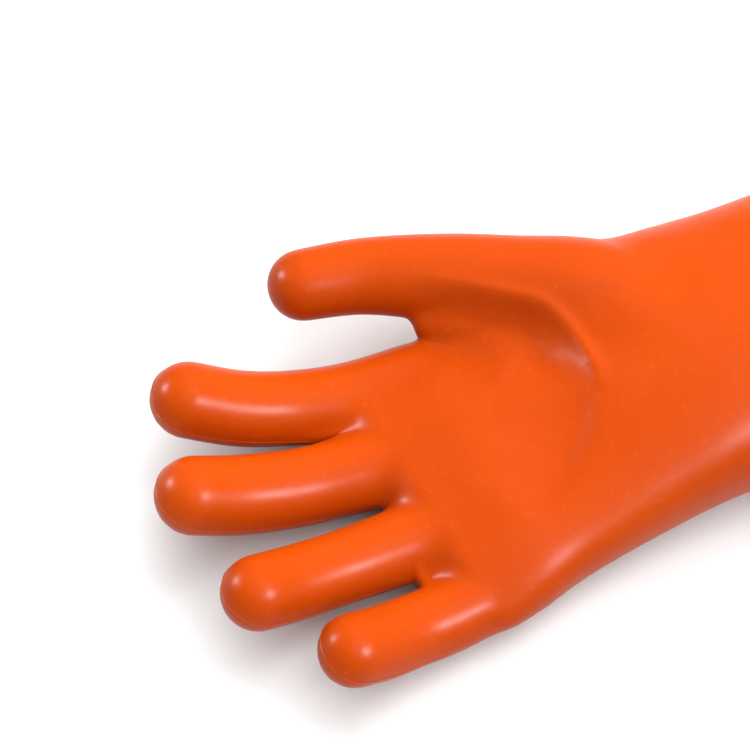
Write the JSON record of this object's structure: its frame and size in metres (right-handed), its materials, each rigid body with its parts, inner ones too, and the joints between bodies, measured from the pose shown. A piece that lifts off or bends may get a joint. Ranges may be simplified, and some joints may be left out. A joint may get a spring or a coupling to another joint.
{
  "type": "electrical insulating glove",
  "caption": "Right-hand dipped rubber insulating glove with a long flared gauntlet and a rolled cuff, lying palm up; the fingers, thumb and wrist bend.",
  "frame": {"origin": "on the surface that the glove lies on, under the middle of its bounding box", "axes": "+X from the fingertips to the cuff along the forearm, +Y towards the thumb, +Z out of the palm, away from the surface that the back of the hand lies on"},
  "size_m": [0.4101, 0.1603, 0.101],
  "materials": {
    "glove_rubber": "satin, smooth dipped rubber",
    "cuff_bead": "satin, smooth rolled rubber edge"
  },
  "bodies": {
    "palm": {"palm": "glove_rubber"},
    "wrist": {"wrist_sleeve": "glove_rubber"},
    "gauntlet": {"gauntlet": "glove_rubber", "cuff_bead": "cuff_bead"},
    "knuckles": {"knuckle_web": "glove_rubber", "index_root": "glove_rubber", "middle_root": "glove_rubber", "ring_root": "glove_rubber", "little_root": "glove_rubber"},
    "index_middle": {"index_middle": "glove_rubber"},
    "index_tip": {"index_tip": "glove_rubber"},
    "middle_middle": {"middle_middle": "glove_rubber"},
    "middle_tip": {"middle_tip": "glove_rubber"},
    "ring_middle": {"ring_middle": "glove_rubber"},
    "ring_tip": {"ring_tip": "glove_rubber"},
    "little_middle": {"little_middle": "glove_rubber"},
    "little_tip": {"little_tip": "glove_rubber"},
    "thumb_root": {"thumb_root": "glove_rubber"},
    "thumb_tip": {"thumb_tip": "glove_rubber"}
  },
  "joints": [
    {"name": "wrist_bend", "type": "hinge", "parent": "palm", "child": "wrist", "pos_m": [0.016, 0, 0.031], "axis": [0, -1, 0], "range_deg": [-12, 30], "stiffness_Nm_per_rad": 3},
    {"name": "wrist_swing", "type": "hinge", "parent": "wrist", "child": "gauntlet", "pos_m": [0.048, 0, 0.034], "axis": [0, 0, 1], "range_deg": [-12, 12], "stiffness_Nm_per_rad": 4},
    {"name": "knuckle_bend", "type": "hinge", "parent": "palm", "child": "knuckles", "pos_m": [-0.105, -0.016, 0.018], "axis": [-0.0797, 0.9968, 0], "range_deg": [-8, 50], "stiffness_Nm_per_rad": 1.5},
    {"name": "index_bend", "type": "hinge", "parent": "knuckles", "child": "index_middle", "pos_m": [-0.1514, 0.0297, 0.0203], "axis": [0.1219, 0.9925, 0], "range_deg": [-5, 60], "stiffness_Nm_per_rad": 0.2},
    {"name": "index_tip_bend", "type": "hinge", "parent": "index_middle", "child": "index_tip", "pos_m": [-0.1723, 0.0329, 0.0275], "axis": [0.232, 0.9727, 0], "range_deg": [-3, 36], "stiffness_Nm_per_rad": 0.1},
    {"name": "middle_bend", "type": "hinge", "parent": "knuckles", "child": "middle_middle", "pos_m": [-0.1576, -0.0017, 0.0199], "axis": [0.0234, 0.9997, 0], "range_deg": [-5, 60], "stiffness_Nm_per_rad": 0.2},
    {"name": "middle_tip_bend", "type": "hinge", "parent": "middle_middle", "child": "middle_tip", "pos_m": [-0.1799, -0.0008, 0.0268], "axis": [0.0606, 0.9982, 0], "range_deg": [-3, 36], "stiffness_Nm_per_rad": 0.1},
    {"name": "ring_bend", "type": "hinge", "parent": "knuckles", "child": "ring_middle", "pos_m": [-0.1482, -0.0352, 0.0199], "axis": [-0.1189, 0.9929, 0], "range_deg": [-5, 60], "stiffness_Nm_per_rad": 0.2},
    {"name": "ring_tip_bend", "type": "hinge", "parent": "ring_middle", "child": "ring_tip", "pos_m": [-0.1691, -0.0382, 0.0254], "axis": [-0.1581, 0.9874, 0], "range_deg": [-3, 36], "stiffness_Nm_per_rad": 0.1},
    {"name": "little_bend", "type": "hinge", "parent": "knuckles", "child": "little_middle", "pos_m": [-0.1311, -0.0637, 0.0183], "axis": [-0.151, 0.9885, 0], "range_deg": [-5, 60], "stiffness_Nm_per_rad": 0.2},
    {"name": "little_tip_bend", "type": "hinge", "parent": "little_middle", "child": "little_tip", "pos_m": [-0.1468, -0.067, 0.0239], "axis": [-0.1896, 0.9819, 0], "range_deg": [-3, 36], "stiffness_Nm_per_rad": 0.1},
    {"name": "thumb_base_bend", "type": "hinge", "parent": "palm", "child": "thumb_root", "pos_m": [-0.0995, 0.0425, 0.033], "axis": [0.8, 0.6, 0], "range_deg": [-8, 20], "stiffness_Nm_per_rad": 0.6},
    {"name": "thumb_tip_bend", "type": "hinge", "parent": "thumb_root", "child": "thumb_tip", "pos_m": [-0.115, 0.0652, 0.0374], "axis": [0.1709, 0.9803, 0.0985], "range_deg": [-5, 32], "stiffness_Nm_per_rad": 0.2}
  ],
  "couplings": [
    {"joint": "index_tip_bend", "follows": "index_bend", "ratio": 0.6},
    {"joint": "middle_tip_bend", "follows": "middle_bend", "ratio": 0.6},
    {"joint": "ring_tip_bend", "follows": "ring_bend", "ratio": 0.6},
    {"joint": "little_tip_bend", "follows": "little_bend", "ratio": 0.6}
  ]
}
